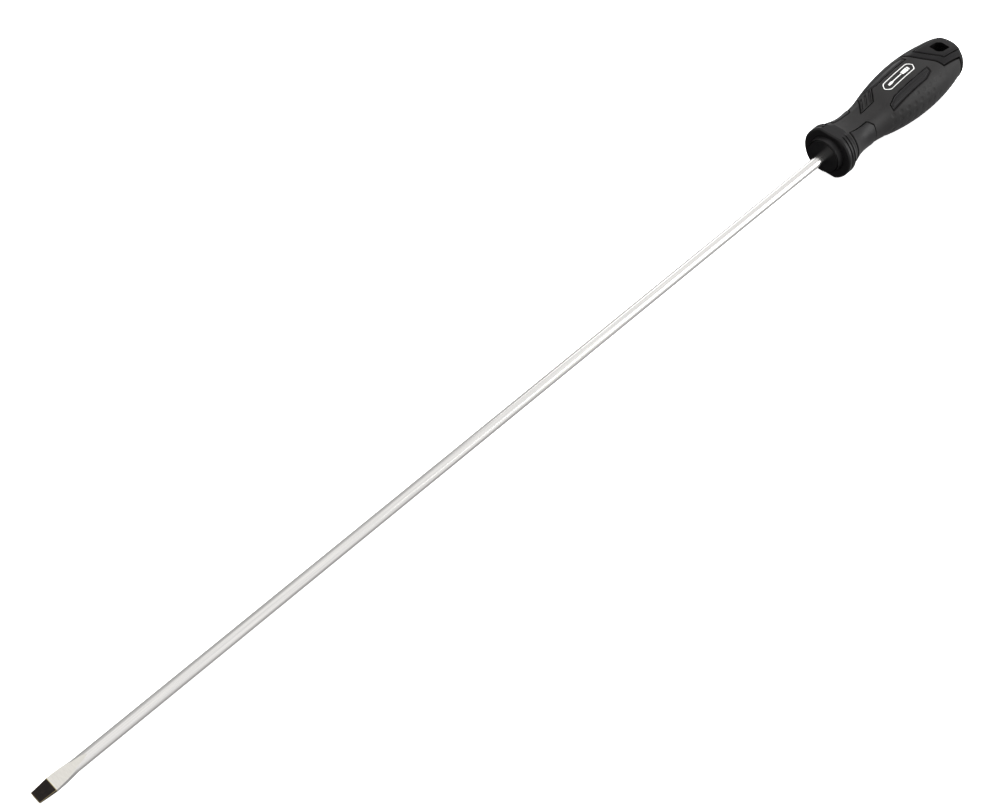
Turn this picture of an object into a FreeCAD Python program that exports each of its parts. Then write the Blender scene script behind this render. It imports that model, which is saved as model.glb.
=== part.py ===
import FreeCAD, Part
import math
import os
import re
import Sketcher

# Long-reach slotted screwdriver.
# +X runs along the blade to its tip and +Z up through the handle's upper face.
# The origin is on the blade's axis, at the front face of the handle's collar.
# The handle lies behind it, towards -X.

doc = FreeCAD.newDocument("long_reach_screwdriver")

# ---------------------------------------------------------------- driving sizes
SIZES = [
    ("shank_diameter", 5.5, "round bar of the blade"),
    ("shank_length", 500.0, "collar face to the end of the tip"),
    ("tang_length", 84.0, "bar held inside the handle"),
    ("wing_width", 10.0, "across the flattened wings of the tang"),
    ("wing_thickness", 2.6, "flattened wings of the tang"),
    ("wing_length", 11.0, "each pair of wings along the bar"),
    ("front_wing", 27.0, "collar face to the first wings"),
    ("wing_pitch", 32.0, "first wings to the second"),
    ("grind_length", 25.0, "ground faces of the tip"),
    ("flare_length", 19.0, "forged flare, from round bar to the tip"),
    ("dip_length", 8.0, "straight, blackened end of the tip"),
    ("flare_width", 6.6, "tip at its widest"),
    ("flare_thickness", 2.3, "plate of the flare, where the straight end starts"),
    ("tip_width", 5.6, "tip at its end"),
    ("tip_thickness", 1.0, "tip at its end"),
    ("tip_turn", -12.0, "degrees, tip about the blade's axis"),
    ("boss_length", 3.5, "core standing out of the collar"),
    ("boss_radius", 10.1, "core where it passes through the collar"),
    ("boss_draft", 0.5, "narrowing of the boss towards its face"),
    ("boss_rounding", 0.6, "front edge of the boss"),
    ("collar_radius", 14.6, "round part of the collar"),
    ("collar_length", 7.6, "collar along the axis"),
    ("collar_land", 5.2, "cylindrical part of the collar"),
    ("collar_fall", 1.3, "drop of the collar's rear chamfer"),
    ("collar_chamfer", 0.7, "front edge of the collar"),
    ("flat_height", 13.0, "axis to each anti-roll flat"),
    ("groove_front", 2.3, "collar face to the first groove"),
    ("groove_pitch", 2.0, "first groove to the second"),
    ("groove_width", 0.6, "grooves round the collar"),
    ("groove_depth", 0.55, "grooves round the collar"),
    ("handle_length", 109.6, "collar face to the sleeve's rear end"),
    ("neck_curve", 36.0, "hollow between collar and waist"),
    ("waist_from_collar", 21.8, "collar face to the narrowest place"),
    ("waist_radius", 10.5, "narrowest place"),
    ("hollow_share", 0.38, "part of the way from waist to belly where hollow meets belly"),
    ("belly_from_butt", 38.4, "widest place to the rear end"),
    ("belly_radius", 16.1, "widest place"),
    ("rear_curve", 130.0, "belly behind the widest place"),
    ("spine_drop", 1.2, "flattened upper and lower faces below the round form"),
    ("corner_reach", 7.6, "rear end to the start of its rounding"),
    ("corner_radius", 7.0, "rounding at the rear end"),
    ("skin", 2.6, "soft moulding over the core"),
    ("inlay_depth", 1.5, "inlays let into the sleeve"),
    ("pad_front", 9.8, "collar face to the neck pads"),
    ("pad_length", 17.6, "neck pads along the axis"),
    ("pad_edge", 5.4, "middle plane to the neck pads"),
    ("pad_clip", 3.0, "clipped rear corners of the neck pads"),
    ("pad_proud", 0.4, "neck pads above the sleeve"),
    ("inlay_front", 42.0, "collar face to the inlays' front edge"),
    ("inlay_from_butt", 34.6, "rear end to the left inlay's rear edge"),
    ("inlay_shift", 2.6, "right inlay's rear edge, further forward"),
    ("inlay_inner", 6.0, "middle plane to the inlays' inner edge"),
    ("inlay_outer", 10.1, "middle plane to the inlays' outer edge"),
    ("inlay_taper", 5.2, "length of the inlays' slanted corners"),
    ("inlay_clip", 1.5, "width of the inlays' slanted corners"),
    ("thumb_front", 27.3, "collar face to the thumb pad"),
    ("thumb_length", 10.3, "thumb pad along its inner edge"),
    ("thumb_width", 9.6, "thumb pad across"),
    ("thumb_start", 0.4, "middle plane to the thumb pad"),
    ("thumb_slant", 10.0, "rearward slant across the thumb pad"),
    ("slot_width", 0.9, "slots of the thumb pad"),
    ("slot_depth", 0.7, "slots of the thumb pad"),
    ("slot_margin", 1.2, "slots inside the thumb pad's edges"),
    ("slot_count", 3, "slots in each thumb pad"),
    ("band_edge", 10.1, "middle plane to the band's edge"),
    ("band_near", 24.0, "rear end to the band's left front corner"),
    ("band_far", 35.9, "rear end to the band's right front corner"),
    ("band_ring", 9.0, "rear end to the band's ring at the sides"),
    ("band_curve", 76.0, "curve of the band's slanted front edge"),
    ("band_proud", 0.2, "band above the sleeve"),
    ("cap_edge", 6.9, "middle plane to the end cap's edge"),
    ("cap_near", 20.3, "rear end to the cap's left front corner"),
    ("cap_far", 29.5, "rear end to the cap's right front corner"),
    ("cap_proud", 0.4, "end cap above the sleeve"),
    ("eye_from_butt", 14.9, "rear end to the middle of the hang hole"),
    ("eye_shift", 0.3, "middle of the hang hole towards the left"),
    ("eye_length", 10.0, "hang hole along the axis"),
    ("eye_width", 7.5, "hang hole across"),
    ("eye_clip", 1.9, "short clipped corners of the hang hole"),
    ("eye_slant", 6.9, "long edges of the hang hole"),
    ("eye_rounding", 0.7, "corners of the hang hole"),
    ("reach", 24.0, "height of the tools that divide the skin"),
]
NAMES = [name for name, _, _ in SIZES]

sheet = doc.addObject("Spreadsheet::Sheet", "sizes")
for row, (name, number, note) in enumerate(SIZES, start=1):
    sheet.set("A%d" % row, note)
    sheet.set("B%d" % row, str(number))
    sheet.setAlias("B%d" % row, name)
doc.recompute()


def bound(words):
    """An expression in which each size is read from the sheet."""
    return re.sub(r"[a-z_]+", lambda m: "sizes." + m.group() if m.group() in NAMES else m.group(), words)


def value(words):
    return float(sheet.evalExpression(bound(words)))


def tie(thing, **words):
    """Tie properties to the sheet."""
    for name, expression in words.items():
        thing.setExpression(name, bound(expression))


# ---------------------------------------------------------------- sketch helpers
def plane_of(body, role):
    return [feature for feature in body.Origin.OriginFeatures if feature.Role == role][0]


def outline(body, name, role, corners, arcs=None):
    """A closed sketch through the corners, each a pair of expressions.

    arcs gives the edges that are arcs: the number of the edge's first corner, the two
    expressions of the centre, the radius, and whether the edge turns anticlockwise.
    """
    arcs = arcs or {}
    sketch = body.newObject("Sketcher::SketchObject", name)
    sketch.AttachmentSupport = [(plane_of(body, role), "")]
    sketch.MapMode = "FlatFace"
    places = [FreeCAD.Vector(value(across), value(up), 0) for across, up in corners]
    count = len(places)
    first_point = []
    last_point = []
    for edge in range(count):
        start, end = places[edge], places[(edge + 1) % count]
        if edge in arcs:
            across, up, radius, anticlockwise = arcs[edge]
            centre = FreeCAD.Vector(value(across), value(up), 0)
            ends = (start, end) if anticlockwise else (end, start)
            angles = [math.atan2(p.y - centre.y, p.x - centre.x) for p in ends]
            circle = Part.Circle(centre, FreeCAD.Vector(0, 0, 1), value(radius))
            sketch.addGeometry(Part.ArcOfCircle(circle, *angles))
            first_point.append(1 if anticlockwise else 2)
            last_point.append(2 if anticlockwise else 1)
        else:
            sketch.addGeometry(Part.LineSegment(start, end))
            first_point.append(1)
            last_point.append(2)
    for edge in range(count):
        after = (edge + 1) % count
        sketch.addConstraint(
            Sketcher.Constraint("Coincident", edge, last_point[edge], after, first_point[after]))
    for edge, (across, up) in enumerate(corners):
        for kind, words, number in (("DistanceX", across, places[edge].x), ("DistanceY", up, places[edge].y)):
            index = sketch.addConstraint(Sketcher.Constraint(kind, edge, first_point[edge], number))
            sketch.setExpression("Constraints[%d]" % index, bound(words))
        if edge in arcs:
            radius = arcs[edge][2]
            index = sketch.addConstraint(Sketcher.Constraint("Radius", edge, value(radius)))
            sketch.setExpression("Constraints[%d]" % index, bound(radius))
    return sketch


def turned_body(name, corners, arcs=None):
    """A body of revolution about the blade's axis."""
    body = doc.addObject("PartDesign::Body", name)
    sketch = outline(body, name + "_outline", "XY_Plane", corners, arcs)
    feature = body.newObject("PartDesign::Revolution", name + "_turned")
    feature.Profile = sketch
    feature.ReferenceAxis = (sketch, ["H_Axis"])
    feature.Angle = 360.0
    return body


def prism(name, corners, arcs=None, role="XY_Plane", both_ways=False, upside_down=False, depth=None):
    """A prism on a plane through the axis; upside_down turns it half round the axis."""
    body = doc.addObject("PartDesign::Body", name)
    sketch = outline(body, name + "_outline", role, corners, arcs)
    feature = body.newObject("PartDesign::Pad", name + "_pad")
    feature.Profile = sketch
    feature.Midplane = both_ways
    tie(feature, Length=depth or ("reach * 2" if both_ways else "reach"))
    if upside_down:
        body.Placement = FreeCAD.Placement(FreeCAD.Vector(), FreeCAD.Rotation(FreeCAD.Vector(1, 0, 0), 180))
    return body


def boolean(kind, name, base, tool):
    result = doc.addObject("Part::" + kind, name)
    result.Base = base
    result.Tool = tool
    return result


def joined(name, things):
    result = doc.addObject("Part::MultiFuse", name)
    result.Shapes = things
    return result


# ---------------------------------------------------------------- the handle's form
# The handle is turned about the axis from a chain of arcs that meet tangentially: neck,
# hollow, belly, rear corner and rear dome. Its upper and lower faces are flattened across the
# width, and follow the same arcs lower down. An inner or outer skin is moved in by inset.
WAIST_X = "(-waist_from_collar)"
BELLY_X = "(belly_from_butt - handle_length)"
RISE = "(belly_radius - waist_radius)"
CENTRE_GAP = "(((%s - %s)^2 + %s^2) / (2 * %s))" % (WAIST_X, BELLY_X, RISE, RISE)
HOLLOW_CURVE = "(hollow_share * %s)" % CENTRE_GAP
BELLY_CURVE = "(%s - %s)" % (CENTRE_GAP, HOLLOW_CURVE)
LEAN = "((belly_from_butt - corner_reach) / rear_curve)"
RISING = "sqrt(1 - %s^2)" % LEAN
CORNER_X = "(%s - (rear_curve - corner_radius) * %s)" % (BELLY_X, LEAN)
CORNER_Y = "(belly_radius - rear_curve + (rear_curve - corner_radius) * %s)" % RISING
CORNER_GAP = "(%s + handle_length)" % CORNER_X
DOME = "((%s^2 + %s^2 - corner_radius^2) / (2 * (%s - corner_radius)))" % (CORNER_GAP, CORNER_Y, CORNER_GAP)
DOME_X = "(%s - handle_length)" % DOME


def front_arcs(inset):
    """The corners and arcs from the collar to the widest place."""
    front = "-collar_length"
    front_y = "(waist_radius + neck_curve - sqrt((neck_curve + %s)^2 - (%s - %s)^2))" % (inset, front, WAIST_X)
    hollow = "(%s + %s)" % (HOLLOW_CURVE, inset)
    meet_x = "(%s + (%s - %s) * %s / %s)" % (WAIST_X, BELLY_X, WAIST_X, hollow, CENTRE_GAP)
    meet_y = "(waist_radius + %s - %s * (%s - %s) / %s)" % (
        HOLLOW_CURVE, hollow, CENTRE_GAP, RISE, CENTRE_GAP)
    corners = [
        (front, "0"),
        (front, front_y),
        (WAIST_X, "waist_radius - %s" % inset),
        (meet_x, meet_y),
        (BELLY_X, "belly_radius - %s" % inset),
    ]
    arcs = {
        1: (WAIST_X, "waist_radius + neck_curve", "neck_curve + %s" % inset, False),
        2: (WAIST_X, "waist_radius + %s" % HOLLOW_CURVE, hollow, False),
        3: (BELLY_X, "belly_radius - %s" % BELLY_CURVE, "%s - %s" % (BELLY_CURVE, inset), True),
        4: (BELLY_X, "belly_radius - rear_curve", "rear_curve - %s" % inset, True),
    }
    return corners, arcs


def flattened(name, inset):
    """The slab between the upper and lower faces."""
    lowered = "(%s + spine_drop)" % inset
    corners, arcs = front_arcs(lowered)
    end = "-(handle_length + 1)"
    end_y = "(belly_radius - rear_curve + sqrt((rear_curve - %s)^2 - (%s - %s)^2))" % (lowered, end, BELLY_X)
    corners = corners + [(end, end_y), (end, "0")]
    upper = prism(name + "_upper", corners, arcs, role="XZ_Plane", both_ways=True)
    lower = prism(name + "_lower", corners, arcs, role="XZ_Plane", both_ways=True, upside_down=True)
    return joined(name, [upper, lower])


def handle_form(name, inset):
    """The whole handle behind the collar, with its surface moved in by inset."""
    corners, arcs = front_arcs(inset)
    shoulder_x = "(%s - (corner_radius - %s) * %s)" % (CORNER_X, inset, LEAN)
    shoulder_y = "(%s + (corner_radius - %s) * %s)" % (CORNER_Y, inset, RISING)
    dome_share = "((%s - %s) / (%s - corner_radius))" % (DOME, inset, DOME)
    rim_x = "(%s + (%s - %s) * %s)" % (DOME_X, CORNER_X, DOME_X, dome_share)
    rim_y = "(%s * %s)" % (CORNER_Y, dome_share)
    corners = corners + [(shoulder_x, shoulder_y), (rim_x, rim_y), ("%s - handle_length" % inset, "0")]
    arcs[5] = (CORNER_X, CORNER_Y, "corner_radius - %s" % inset, True)
    arcs[6] = (DOME_X, "0", "%s - %s" % (DOME, inset), True)
    turned = turned_body(name + "_turned", corners, arcs)
    return boolean("Common", name, turned, flattened(name + "_slab", inset))


full_form = handle_form("full_form", "0")
core_form = handle_form("core_form", "skin")
inlay_form = handle_form("inlay_form", "inlay_depth")
slot_form = handle_form("slot_form", "slot_depth")
pad_form = handle_form("pad_form", "(-pad_proud)")
band_form = handle_form("band_form", "(-band_proud)")
cap_form = handle_form("cap_form", "(-cap_proud)")

# ---------------------------------------------------------------- blade
# One forged bar: wings on the tang stop it turning in the handle, and the front end is
# flared, ground to a wedge and squared off.
bar = doc.addObject("Part::Cylinder", "bar")
tie(bar, Radius="shank_diameter / 2", Height="tang_length + shank_length")
along_x = FreeCAD.Rotation(FreeCAD.Vector(0, 1, 0), 90)
bar.Placement = FreeCAD.Placement(FreeCAD.Vector(), along_x)
tie(bar, **{"Placement.Base.x": "-tang_length"})

# The flare is a plate that grows out of the middle of the round bar.
EMERGE = "sqrt(shank_diameter^2 - flare_thickness^2) / 2 - 0.2"
flare = prism("flare", [
    ("shank_length - flare_length", EMERGE),
    ("shank_length - dip_length", "flare_width / 2"),
    ("shank_length", "tip_width / 2"),
    ("shank_length", "-tip_width / 2"),
    ("shank_length - dip_length", "-flare_width / 2"),
    ("shank_length - flare_length", "-(%s)" % EMERGE),
], both_ways=True, depth="flare_thickness")

wings = []
for number in range(2):
    wing = doc.addObject("Part::Box", "wings_%d" % number)
    tie(wing, Length="wing_length", Width="wing_width", Height="wing_thickness")
    tie(wing, **{
        "Placement.Base.x": "-(front_wing + wing_length + %d * wing_pitch)" % number,
        "Placement.Base.y": "-wing_width / 2",
        "Placement.Base.z": "-wing_thickness / 2",
    })
    wings.append(wing)
forging = joined("forging", [bar, flare] + wings)

BACK = "-(tang_length + 1)"
thickness_grind = prism("thickness_grind", [
    (BACK, "reach"),
    ("shank_length - grind_length", "reach"),
    ("shank_length - grind_length", "shank_diameter / 2"),
    ("shank_length", "tip_thickness / 2"),
    ("shank_length", "-tip_thickness / 2"),
    ("shank_length - grind_length", "-shank_diameter / 2"),
    ("shank_length - grind_length", "-reach"),
    (BACK, "-reach"),
], role="XZ_Plane", both_ways=True)
blade = boolean("Common", "blade", forging, thickness_grind)
blade.Placement = FreeCAD.Placement(FreeCAD.Vector(), FreeCAD.Rotation(FreeCAD.Vector(1, 0, 0), 0))
tie(blade, **{"Placement.Rotation.Angle": "tip_turn * 1 deg"})

# ---------------------------------------------------------------- hang hole tool
# A six-sided hole with two long and four short edges, the same when turned half round.
EYE_X = "(eye_from_butt - handle_length)"
EYE_HALF = [
    ("eye_length / 2 - 0.5", "-eye_width / 2"),
    ("eye_length / 2 - 0.5 - eye_slant", "-eye_width / 2"),
    ("-eye_length / 2", "-eye_width / 2 + eye_clip"),
]
eye_corners = [("%s + (%s)" % (EYE_X, across), "eye_shift + (%s)" % up) for across, up in EYE_HALF]
eye_corners += [("%s - (%s)" % (EYE_X, across), "eye_shift - (%s)" % up) for across, up in EYE_HALF]
eye = prism("hang_hole", eye_corners, both_ways=True)
doc.recompute()
eye_pad = eye.Tip
upright = [
    "Edge%d" % (number + 1)
    for number, edge in enumerate(eye_pad.Shape.Edges)
    if abs(edge.Vertexes[0].Z - edge.Vertexes[-1].Z) > value("reach")
]
eye_round = eye.newObject("PartDesign::Fillet", "hang_hole_corners")
eye_round.Base = (eye_pad, upright)
tie(eye_round, Radius="eye_rounding")

# ---------------------------------------------------------------- core
# Rigid first moulding round the tang. Its front end passes through the collar as a boss.
BOSS_FACE = "(boss_radius - boss_draft)"
boss = turned_body("boss", [
    ("-collar_length", "0"),
    ("boss_length", "0"),
    ("boss_length", BOSS_FACE + " - boss_rounding"),
    ("boss_length - boss_rounding", BOSS_FACE),
    ("0", "boss_radius"),
    ("-collar_length", "boss_radius"),
], {2: ("boss_length - boss_rounding", BOSS_FACE + " - boss_rounding", "boss_rounding", False)})
core_whole = joined("core_whole", [core_form, boss])
core_drilled = boolean("Cut", "core_drilled", core_whole, blade)
core = boolean("Cut", "core", core_drilled, eye)

# ---------------------------------------------------------------- collar
# A rigid ring with two anti-roll flats, and two grooves round its cylindrical part.
collar = turned_body("collar", [
    ("0", "boss_radius"),
    ("0", "collar_radius"),
    ("-collar_land", "collar_radius"),
    ("-collar_length", "collar_radius - collar_fall"),
    ("-collar_length", "boss_radius"),
])
for number in range(2):
    front_edge = "-(groove_front + %d * groove_pitch)" % number
    ring = outline(collar, "groove_outline_%d" % number, "XY_Plane", [
        (front_edge, "collar_radius - groove_depth"),
        (front_edge, "collar_radius + 1"),
        (front_edge + " - groove_width", "collar_radius + 1"),
        (front_edge + " - groove_width", "collar_radius - groove_depth"),
    ])
    groove = collar.newObject("PartDesign::Groove", "groove_%d" % number)
    groove.Profile = ring
    groove.ReferenceAxis = (ring, ["H_Axis"])
    groove.Angle = 360.0
for number, side in enumerate(("", "-")):
    flat = outline(collar, "flat_outline_%d" % number, "XZ_Plane", [
        ("1", side + "flat_height"),
        ("1", side + "(collar_radius + 1)"),
        ("-collar_length - 1", side + "(collar_radius + 1)"),
        ("-collar_length - 1", side + "flat_height"),
    ])
    cut = collar.newObject("PartDesign::Pocket", "flat_%d" % number)
    cut.Profile = flat
    cut.Midplane = True
    tie(cut, Length="collar_radius * 3")
doc.recompute()
flatted = collar.Tip
front_rim = [
    "Edge%d" % (number + 1)
    for number, edge in enumerate(flatted.Shape.Edges)
    if edge.BoundBox.XMin > -1e-6 and max(
        math.hypot(v.Y, v.Z) for v in edge.Vertexes) > value("boss_radius") + 1
]
chamfer = collar.newObject("PartDesign::Chamfer", "front_chamfer")
chamfer.Base = (flatted, front_rim)
tie(chamfer, Size="collar_chamfer")

# ---------------------------------------------------------------- skin of the handle
# Every piece of the skin is cut straight down, the way the mould opens, so its outline is
# drawn on the plane through the axis. Left is +Y and right is -Y on the upper face. A piece
# of the lower face is the upper one turned half round, and keeps its side's name.
skin_blank = boolean("Cut", "skin_blank", full_form, core_form)
inlay_blank = boolean("Cut", "inlay_blank", full_form, inlay_form)
pad_blank = boolean("Cut", "pad_blank", pad_form, inlay_form)
band_blank = boolean("Cut", "band_blank", band_form, core_form)
cap_blank = boolean("Cut", "cap_blank", cap_form, core_form)

PAD_REAR = "-(pad_front + pad_length)"
neck_pads = []
for side, sign in (("left", ""), ("right", "-")):
    corners = [
        ("-pad_front", sign + "pad_edge"),
        ("-pad_front", sign + "reach"),
        (PAD_REAR, sign + "reach"),
        (PAD_REAR, sign + "(pad_edge + pad_clip)"),
        (PAD_REAR + " + pad_clip", sign + "pad_edge"),
    ]
    tool = prism("neck_pad_tool_" + side, corners, both_ways=True)
    neck_pads.append(boolean("Common", "neck_pad_" + side, pad_blank, tool))

inlays = []
for face, upside_down in (("upper", False), ("lower", True)):
    for side, sign, rear in (("left", "", "inlay_from_butt - handle_length"),
                             ("right", "-", "inlay_from_butt + inlay_shift - handle_length")):
        corners = [
            ("-inlay_front", sign + "inlay_outer"),
            ("-inlay_front", sign + "(inlay_inner + inlay_clip)"),
            ("-inlay_front - inlay_taper", sign + "inlay_inner"),
            (rear, sign + "inlay_inner"),
            (rear, sign + "(inlay_outer - inlay_clip)"),
            (rear + " + inlay_taper", sign + "inlay_outer"),
        ]
        piece = "shoulder_inlay_%s_%s" % (face, side)
        tool = prism(piece + "_tool", corners, upside_down=upside_down)
        inlays.append(boolean("Common", piece, inlay_blank, tool))

# Thumb pads: a slanted patch on the right of each face, with slots along its slant.
SLANT = "(thumb_slant / thumb_width)"
thumb_pads = []
thumb_wholes = []
for face, upside_down in (("upper", False), ("lower", True)):
    near = "-thumb_start"
    far = "-(thumb_start + thumb_width)"
    corners = [
        ("-thumb_front", near),
        ("-thumb_front - thumb_length", near),
        ("-thumb_front - thumb_length - thumb_slant * 0.72", "-(thumb_start + thumb_width * 0.72)"),
        ("-thumb_front - thumb_slant", far),
    ]
    patch = prism("thumb_patch_" + face, corners, upside_down=upside_down)
    whole = boolean("Common", "thumb_blank_" + face, inlay_blank, patch)
    thumb_wholes.append(whole)
    cutters = []
    for number in range(int(value("slot_count"))):
        begin = "(thumb_front + slot_width + %d * thumb_length / slot_count)" % number
        inner = "(thumb_start + slot_margin)"
        outer = "(thumb_start + thumb_width * 0.72 - slot_margin)"
        corners = [
            ("-%s - %s * %s" % (begin, inner, SLANT), "-" + inner),
            ("-%s - slot_width - %s * %s" % (begin, inner, SLANT), "-" + inner),
            ("-%s - slot_width - %s * %s" % (begin, outer, SLANT), "-" + outer),
            ("-%s - %s * %s" % (begin, outer, SLANT), "-" + outer),
        ]
        cutters.append(prism("slot_%s_%d" % (face, number), corners, upside_down=upside_down))
    slots = boolean("Cut", "slots_" + face, joined("slot_cutters_" + face, cutters), slot_form)
    thumb_pads.append(boolean("Cut", "thumb_pad_" + face, whole, slots))


def rear_zone(name, edge, near, far, ring):
    """The outline of the band or the cap: a strip with a slanted, curved front edge."""
    near_x = "(%s - handle_length)" % near
    far_x = "(%s - handle_length)" % far
    half_x = "((%s - %s) / 2)" % (far_x, near_x)
    half_chord = "sqrt(%s^2 + %s^2)" % (half_x, edge)
    depth = "(sqrt(band_curve^2 - %s^2) / %s)" % (half_chord, half_chord)
    centre = ("(%s + %s) / 2 - %s * %s" % (near_x, far_x, edge, depth), "-%s * %s" % (half_x, depth))
    end = "-handle_length - 5"
    corners = [(near_x, edge), (far_x, "-" + edge)]
    if ring:
        side = "(%s - handle_length)" % ring
        corners += [(side, "-" + edge), (side, "-reach"), (end, "-reach")]
        corners += [(end, "reach"), (side, "reach"), (side, edge)]
    else:
        corners += [(end, "-" + edge), (end, edge)]
    arcs = {0: (centre[0], centre[1], "band_curve", False)}
    upper = prism(name + "_upper", corners, arcs)
    lower = prism(name + "_lower", corners, arcs, upside_down=True)
    return joined(name, [upper, lower])


band_zone = rear_zone("band_zone", "band_edge", "band_near", "band_far", "band_ring")
cap_zone = rear_zone("cap_zone", "cap_edge", "cap_near", "cap_far", None)
band_whole = boolean("Common", "band_whole", band_blank, band_zone)
butt_band = boolean("Cut", "butt_band", band_whole, cap_zone)
cap_whole = boolean("Common", "cap_whole", cap_blank, cap_zone)
end_cap = boolean("Cut", "end_cap", cap_whole, eye)

sleeve_trimmed = boolean("Cut", "sleeve_trimmed", skin_blank, band_zone)
let_in = joined("let_in", neck_pads + inlays + thumb_wholes)
grip_sleeve = boolean("Cut", "grip_sleeve", sleeve_trimmed, let_in)

# ---------------------------------------------------------------- check and write
pieces = [blade, core, collar, grip_sleeve, butt_band, end_cap] + neck_pads + inlays + thumb_pads
doc.recompute()
for thing in doc.Objects:
    if "Invalid" in thing.State or "Error" in thing.State:
        raise RuntimeError("%s failed: %s" % (thing.Name, thing.State))
for piece in pieces:
    piece.Label = piece.Name
    shape = piece.Shape
    if shape.isNull() or not shape.isValid() or not shape.Solids:
        raise RuntimeError("%s has no sound solid" % piece.Name)

os.makedirs("parts", exist_ok=True)
for piece in pieces:
    piece.Shape.exportStep("parts/%s.step" % piece.Label)
    box = piece.Shape.BoundBox
    print("%-28s %d solid  %9.1f mm3  x %7.2f..%7.2f  y %6.2f..%6.2f  z %6.2f..%6.2f" % (
        piece.Label, len(piece.Shape.Solids), piece.Shape.Volume,
        box.XMin, box.XMax, box.YMin, box.YMax, box.ZMin, box.ZMax))
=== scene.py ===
# %% [markdown]
# # A long-reach slotted screwdriver
# The tool has a slim chrome-plated bar, 500 mm long, with a flared tip that is dipped black.
# Its black grip is moulded in several shots: a hard core, a soft sleeve, and hard pieces that
# show through the sleeve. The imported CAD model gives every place, and this lesson gives the
# pieces their soft edges, their seams and their finishes.

import math

import bmesh
import bpy
import numpy as np
from mathutils import Matrix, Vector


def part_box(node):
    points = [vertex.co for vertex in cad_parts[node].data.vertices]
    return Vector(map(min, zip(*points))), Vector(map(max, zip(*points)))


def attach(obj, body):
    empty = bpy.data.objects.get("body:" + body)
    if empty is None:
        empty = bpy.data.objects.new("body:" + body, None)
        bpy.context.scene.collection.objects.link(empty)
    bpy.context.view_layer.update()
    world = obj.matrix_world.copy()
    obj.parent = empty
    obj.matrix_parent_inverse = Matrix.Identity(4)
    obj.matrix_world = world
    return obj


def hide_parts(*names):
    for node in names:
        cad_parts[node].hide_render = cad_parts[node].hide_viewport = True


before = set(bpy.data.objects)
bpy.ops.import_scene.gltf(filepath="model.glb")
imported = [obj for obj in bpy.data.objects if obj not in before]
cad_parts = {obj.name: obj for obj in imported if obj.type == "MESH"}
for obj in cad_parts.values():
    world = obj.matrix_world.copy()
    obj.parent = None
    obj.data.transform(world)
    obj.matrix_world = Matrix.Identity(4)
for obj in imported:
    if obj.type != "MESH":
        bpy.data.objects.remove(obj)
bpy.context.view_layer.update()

# %% [markdown]
# ## The form of the handle
# The handle was turned about the bar's axis when its mould was made, from arcs that meet
# without a corner: neck, hollow, belly, rear corner and rear dome. Its upper and lower faces
# were then flattened a little. A mesh could be sculpted to this form, but a formula gives the
# same surface to every piece that lies on it, so the seams between them fit by themselves.
# Lengths here are in millimetres, and a mesh is turned to metres when it is made.

# %% Arcs of the side view
MM = 0.001
BUTT_X = round(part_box("end_cap")[0][0] / MM, 1) + 0.4
WAIST_X, WAIST_RADIUS = -21.8, 10.5
BELLY_X, BELLY_RADIUS = BUTT_X + 38.4, 16.1
NECK_CURVE, REAR_CURVE = 36.0, 130.0
RISE = BELLY_RADIUS - WAIST_RADIUS
CENTRES_APART = ((WAIST_X - BELLY_X) ** 2 + RISE ** 2) / (2 * RISE)
HOLLOW_SHARE = 0.38
HOLLOW_CURVE = HOLLOW_SHARE * CENTRES_APART
BELLY_CURVE = CENTRES_APART - HOLLOW_CURVE
MEET_X = WAIST_X + HOLLOW_SHARE * (BELLY_X - WAIST_X)
print("butt at x %.1f, hollow radius %.1f, belly radius %.1f" % (BUTT_X, HOLLOW_CURVE, BELLY_CURVE))

# %% Rear corner and dome
CORNER_RADIUS = 7.0
CORNER_START = BUTT_X + 7.6
lean = (CORNER_START - BELLY_X) / REAR_CURVE
CORNER_X = CORNER_START - CORNER_RADIUS * lean
CORNER_Y = (BELLY_RADIUS - REAR_CURVE) + (REAR_CURVE - CORNER_RADIUS) * math.sqrt(1 - lean ** 2)
corner_depth = BUTT_X + CORNER_RADIUS
DOME_X = (CORNER_X ** 2 + CORNER_Y ** 2 - corner_depth ** 2) / (2 * (CORNER_X - corner_depth))
DOME_RADIUS = DOME_X - BUTT_X
RIM_X = DOME_X + (CORNER_X - DOME_X) * DOME_RADIUS / (DOME_RADIUS - CORNER_RADIUS)
print("dome radius %.2f round x %.2f, meets the corner at x %.2f" % (DOME_RADIUS, DOME_X, RIM_X))

# %% Radius along the axis
SPINE_DROP = 1.2
CREASE = 60.0


def arc_height(x, centre_x, centre_y, radius, sign):
    """Height of a circle at x: its centre's height plus or minus the root of r^2 - dx^2."""
    return centre_y + sign * np.sqrt(np.clip(radius ** 2 - (x - centre_x) ** 2, 0, None))


def side_height(x, drop):
    """The neck, hollow and belly arcs, all moved towards the axis by drop."""
    neck = arc_height(x, WAIST_X, WAIST_RADIUS + NECK_CURVE, NECK_CURVE + drop, -1)
    hollow = arc_height(x, WAIST_X, WAIST_RADIUS + HOLLOW_CURVE, HOLLOW_CURVE + drop, -1)
    belly = arc_height(x, BELLY_X, BELLY_RADIUS - BELLY_CURVE, BELLY_CURVE - drop, 1)
    rear = arc_height(x, BELLY_X, BELLY_RADIUS - REAR_CURVE, REAR_CURVE - drop, 1)
    return np.select([x > WAIST_X, x > MEET_X, x > BELLY_X], [neck, hollow, belly], rear)


def skin_radius(x, angle):
    """Distance from the axis to the skin: the smaller of the turned radius and the flat face's
    distance, height / sin(angle), joined softly by a high power."""
    corner = arc_height(x, CORNER_X, CORNER_Y, CORNER_RADIUS, 1)
    dome = arc_height(x, DOME_X, 0, DOME_RADIUS, 1)
    turned = np.select([x > CORNER_START, x > RIM_X], [side_height(x, 0), corner], dome)
    flat = side_height(x, SPINE_DROP) / np.maximum(np.abs(np.sin(angle)), 1e-6)
    return turned * (1 + (turned / flat) ** CREASE) ** (-1 / CREASE)


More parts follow.
